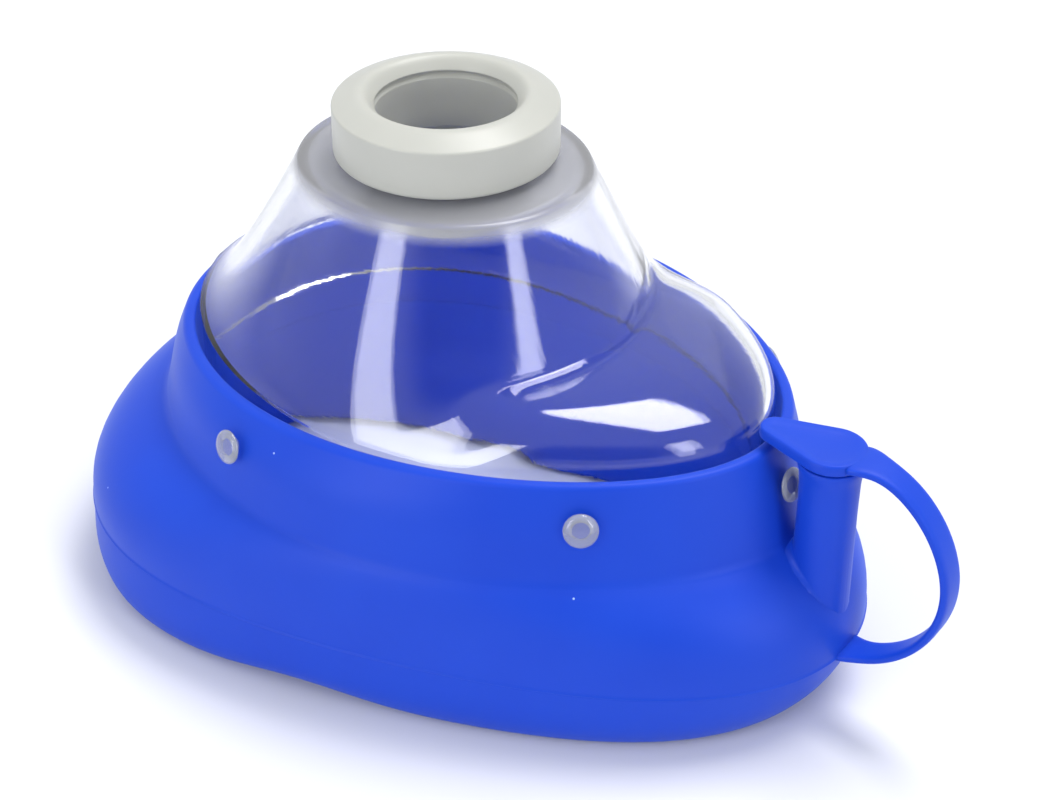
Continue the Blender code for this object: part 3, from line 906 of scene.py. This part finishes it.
HEAD_RADIUS = 2.8
HEAD_EDGE_RADIUS = 2.55
SHANK_RADIUS = 1.3
SHANK_END = -2.4
SEAT = 0.65  # the head's underside, out from the collar's middle outline
LEAN = math.radians(15)
REAR_STUDS_ALONG = -12.3
FRONT_STUDS_ALONG = 45.6


def make_stud(name, turn):
    """A snap stud: a head that is a quarter ellipse over a short rim, and a shank
    that goes in through the collar, turned about one axis. The axis leaves the
    collar's middle outline at right angles and leans up. The profile is in
    millimetres, as radius and height along the axis."""
    places = on_egg(COLLAR_MIDDLE, turn + np.array([-1e-3, 0.0, 1e-3]))
    along = places[2] - places[0]
    outward = np.array([along[1], -along[0]])
    outward /= np.hypot(*outward)
    axis = np.array([*(outward * math.cos(LEAN)), math.sin(LEAN)])
    level = np.array([-outward[1], outward[0], 0.0])
    up = np.cross(axis, level)
    place = np.array([places[1, 0] + CONNECTOR_X, places[1, 1], STUD_Z])
    bow = np.linspace(0.06, math.pi / 2, 10)
    head = [(HEAD_RADIUS * math.sin(b), SEAT + 0.35 + 1.05 * math.cos(b)) for b in bow]
    shank = [
        (HEAD_RADIUS, SEAT + 0.2),
        (HEAD_EDGE_RADIUS, SEAT),
        (SHANK_RADIUS, SEAT),
        (SHANK_RADIUS, SHANK_END),
        (0.05, SHANK_END),
    ]
    profile = np.array(head + shank) * MM
    around = np.linspace(0, 2 * math.pi, 48, endpoint=False)
    radius = profile[:, 0, None, None]
    height = profile[:, 1, None, None]
    spoke = np.cos(around)[:, None] * level + np.sin(around)[:, None] * up
    return skin(name, place + radius * spoke + height * axis, capped=True)


def turn_at(along, side):
    """The outline parameter at a distance in millimetres along from the connector."""
    chin, nose = COLLAR_MIDDLE[:2]
    return side * math.acos((along - (nose - chin) / 2) / ((nose + chin) / 2))


# Pieces.

blue = silicone("blue_silicone", (0.004, 0.044, 0.49, 1), (0.007, 0.060, 0.56, 1))
dome_clear = clear_plastic("dome_plastic", (0.97, 0.975, 0.985, 1), 0.02, 1.0, 0.8)
stud_clear = clear_plastic("stud_plastic", (0.50, 0.52, 0.60, 1), 0.10, 0.70, 0.0)
ring_grey = grey_plastic("ring_plastic", (0.46, 0.46, 0.42, 1), (0.41, 0.415, 0.38, 1))

finished(make_cuff(), blue, "blue_silicone", "mask", "cuff_shell")
finished(make_seal(), blue, "blue_silicone", "mask", "face_seal")
finished(make_dome(), dome_clear, "clear_plastic", "mask", "mask_dome")
finished(make_ring(), ring_grey, "grey_plastic", "mask", "connector_ring")
finished(make_port(), blue, "blue_silicone", "mask", "inflation_port")
finished(make_plug(), blue, "blue_silicone", "plug", "port_plug")
studs = {
    "stud_chin": math.pi,
    "stud_nose": 0.0,
    "stud_rear_left": turn_at(REAR_STUDS_ALONG, 1),
    "stud_rear_right": turn_at(REAR_STUDS_ALONG, -1),
    "stud_front_left": turn_at(FRONT_STUDS_ALONG, 1),
    "stud_front_right": turn_at(FRONT_STUDS_ALONG, -1),
}
for name, turn in studs.items():
    finished(make_stud(name + "_head", turn), stud_clear, "clear_plastic", "mask", name)

strap = make_strap()
strap.data.materials.append(blue)
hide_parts("tether_strap")
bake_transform(strap)


# Studio.

FLOOR_HALF = 4.0
FLOOR_Z = -0.0002
DARK_SIDE = (0.573, -0.745, 0.342)  # the way to the middle of the tent's dark patch
MASK_MIDDLE = (0, 0, 0.06)
WARM_WHITE = (1.0, 0.99, 0.98)
COOL_WHITE = (0.97, 0.98, 1.0)


def make_floor():
    """A wide pale floor."""
    half = FLOOR_HALF
    mesh = bpy.data.meshes.new("floor")
    corners = [(-half, -half, 0), (half, -half, 0), (half, half, 0), (-half, half, 0)]
    mesh.from_pydata(corners, [], [(0, 1, 2, 3)])
    floor = bpy.data.objects.new("floor", mesh)
    bpy.context.scene.collection.objects.link(floor)
    paper = bpy.data.materials.new("paper")
    paper.use_nodes = True
    surface = paper.node_tree.nodes["Principled BSDF"]
    surface.inputs["Base Color"].default_value = (0.74, 0.75, 0.79, 1)
    surface.inputs["Roughness"].default_value = 0.7
    mesh.materials.append(paper)
    floor.location.z = FLOOR_Z


def panel(name, place, aim, width, height, power, colour):
    """A soft rectangular lamp at a place, facing a point."""
    lamp = bpy.data.lights.new(name, "AREA")
    lamp.shape = "RECTANGLE"
    lamp.size = width
    lamp.size_y = height
    lamp.energy = power
    lamp.color = colour
    made = bpy.data.objects.new(name, lamp)
    bpy.context.scene.collection.objects.link(made)
    made.location = place
    made.rotation_mode = "QUATERNION"
    made.rotation_quaternion = (Vector(place) - Vector(aim)).to_track_quat("Z", "Y")
    made.visible_camera = False


def tent(level, dark_level):
    """A pale tent all round: a world of one soft white, darker in one broad patch low
    on the viewer's side, and white to the camera's own rays."""
    world = bpy.data.worlds.new("studio")
    world.use_nodes = True
    nodes = world.node_tree.nodes
    links = world.node_tree.links
    nodes.clear()

    way = nodes.new("ShaderNodeTexCoord")
    way.label = "Direction"
    way.location = (-1000, 0)

    toward = nodes.new("ShaderNodeVectorMath")
    toward.label = "How near the dark side"
    toward.location = (-800, 0)
    toward.operation = "DOT_PRODUCT"
    toward.inputs[1].default_value = DARK_SIDE

    patch = nodes.new("ShaderNodeMapRange")
    patch.label = "Soft-edged dark patch"
    patch.location = (-600, 0)
    patch.interpolation_type = "SMOOTHSTEP"
    patch.inputs["From Min"].default_value = 0.80
    patch.inputs["From Max"].default_value = 0.95
    patch.inputs["To Min"].default_value = level
    patch.inputs["To Max"].default_value = dark_level

    rays = nodes.new("ShaderNodeLightPath")
    rays.label = "Rays from the camera"
    rays.location = (-600, 300)

    seen = nodes.new("ShaderNodeMix")
    seen.label = "White behind the object"
    seen.location = (-380, 100)
    seen.inputs["B"].default_value = 1.1

    sky = nodes.new("ShaderNodeBackground")
    sky.label = "Tent"
    sky.location = (-180, 0)
    sky.inputs["Color"].default_value = (0.95, 0.97, 1.0, 1)

    output = nodes.new("ShaderNodeOutputWorld")
    output.label = "Output"
    output.location = (20, 0)

    links.new(way.outputs["Generated"], toward.inputs[0])
    links.new(toward.outputs["Value"], patch.inputs["Value"])
    links.new(patch.outputs["Result"], seen.inputs["A"])
    links.new(rays.outputs["Is Camera Ray"], seen.inputs["Factor"])
    links.new(seen.outputs["Result"], sky.inputs["Strength"])
    links.new(sky.outputs["Background"], output.inputs["Surface"])
    return world


make_floor()
bpy.context.scene.world = tent(level=0.86, dark_level=0.26)
panel(
    "overhead",
    place=(0.1, 0.35, 1.1),
    aim=(0, 0, 0),
    width=0.7,
    height=0.4,
    power=9.0,
    colour=WARM_WHITE,
)
panel(
    "window_left",
    place=(-0.18, -1.0, 0.46),
    aim=MASK_MIDDLE,
    width=0.30,
    height=0.80,
    power=4.5,
    colour=COOL_WHITE,
)
panel(
    "window_right",
    place=(0.97, -0.25, 0.46),
    aim=MASK_MIDDLE,
    width=0.22,
    height=0.70,
    power=2.9,
    colour=COOL_WHITE,
)

# Camera.

CAMERA_PLACE = (CONNECTOR_X + 191.4 * MM, -248.6 * MM, 243.1 * MM)
CAMERA_TILT = math.radians(55.85)
CAMERA_TURN = math.radians(35.2)

camera = bpy.data.cameras.new("camera")
camera.sensor_width = 36.0
camera.lens = 74.35
view = bpy.data.objects.new("camera", camera)
bpy.context.scene.collection.objects.link(view)
view.location = CAMERA_PLACE
view.rotation_euler = (CAMERA_TILT, 0, CAMERA_TURN)
bpy.context.scene.camera = view
bpy.context.scene.view_settings.view_transform = "Standard"
